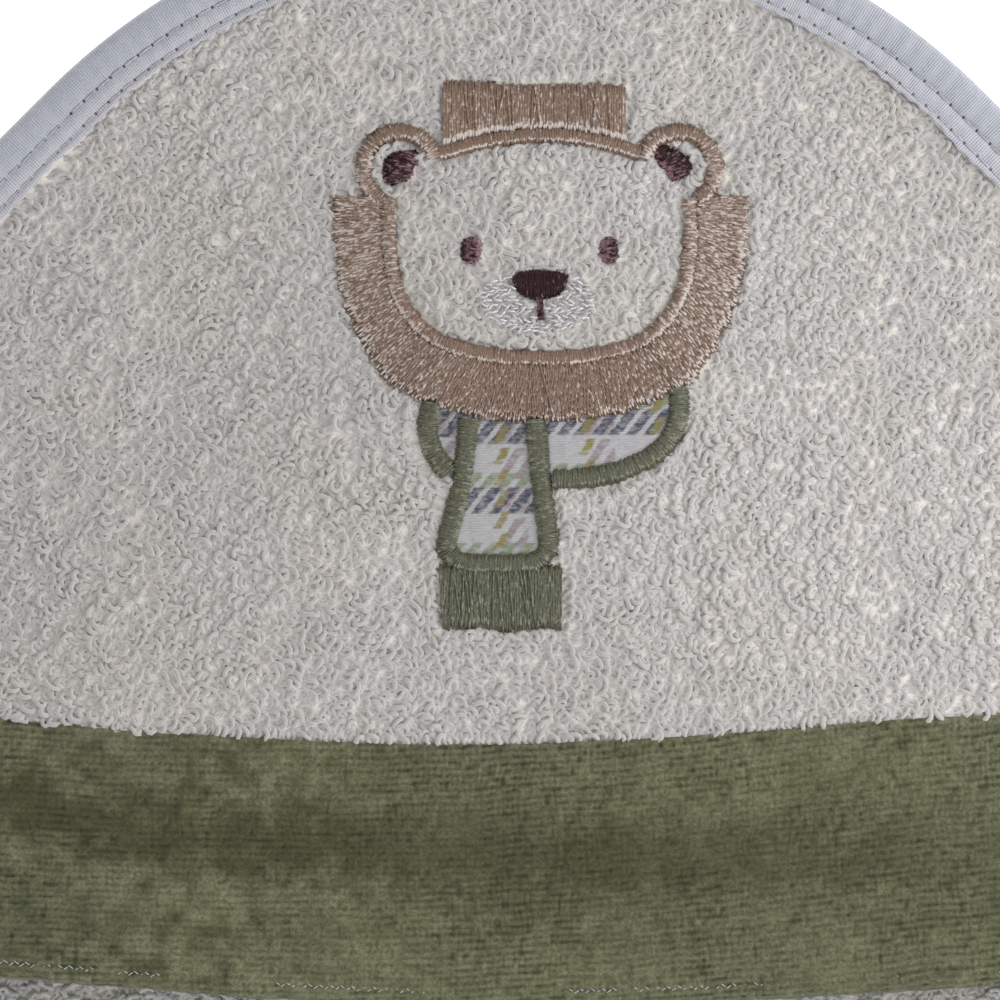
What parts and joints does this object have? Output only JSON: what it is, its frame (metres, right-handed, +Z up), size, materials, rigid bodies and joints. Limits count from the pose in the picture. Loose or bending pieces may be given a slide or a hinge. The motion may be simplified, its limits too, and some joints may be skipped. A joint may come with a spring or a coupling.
{
  "type": "hooded baby towel",
  "caption": "Square terry towel with rounded, bound corners and a hood pocket sewn across a corner, with a velour band at its mouth and an embroidered animal face.",
  "frame": {"origin": "middle of the towel's underside, on the surface that it lies on", "axes": "+Z up from the surface, +Y towards the hooded corner, +X to the right of the embroidered face as it is read from above"},
  "size_m": [1.0344, 1.0344, 0.0273],
  "materials": {
    "cream_terry": "uncut cotton loops, matt",
    "olive_velour": "sheared cotton velour, soft sheen",
    "jersey_binding": "fine ribbed cotton jersey, matt",
    "sewing_thread": "spun polyester thread, slight sheen",
    "beige_thread": "rayon embroidery thread, glossy",
    "brown_thread": "rayon embroidery thread, satin",
    "white_thread": "trilobal embroidery thread, glossy",
    "green_thread": "rayon embroidery thread, satin",
    "printed_cotton": "plain-woven cotton with a printed check, matt",
    "stabiliser": "non-woven cut-away backing, matt"
  },
  "bodies": {
    "towel": {"towel_body": "cream_terry", "edge_binding": "jersey_binding", "edge_stitch_outer": "sewing_thread", "edge_stitch_inner": "sewing_thread"},
    "hooded_corner": {"towel_corner": "cream_terry", "hood_panel": "cream_terry", "hood_band": "olive_velour", "hood_binding": "jersey_binding", "hood_stitch_outer": "sewing_thread", "hood_stitch_inner": "sewing_thread", "band_hem_stitch": "sewing_thread", "band_seam_stitch": "sewing_thread", "embroidery_backing": "stabiliser", "mane": "beige_thread", "face_outline": "beige_thread", "head_top_outline": "beige_thread", "forehead_tuft": "beige_thread", "ear_outline_left": "beige_thread", "ear_outline_right": "beige_thread", "ear_patch_left": "brown_thread", "ear_patch_right": "brown_thread", "eye_left": "brown_thread", "eye_right": "brown_thread", "nose": "brown_thread", "mouth_stem": "brown_thread", "muzzle": "white_thread", "scarf_outline_tail": "green_thread", "scarf_outline_wrap": "green_thread", "scarf_outline_knot": "green_thread", "scarf_fringe": "green_thread", "scarf_patch_tail": "printed_cotton", "scarf_patch_wrap": "printed_cotton", "scarf_patch_knot": "printed_cotton"}
  },
  "joints": [
    {"name": "hood_fold", "type": "hinge", "parent": "towel", "child": "hooded_corner", "pos_m": [0, 0.31, 0.006], "axis": [1, 0, 0], "range_deg": [0, 90]}
  ]
}
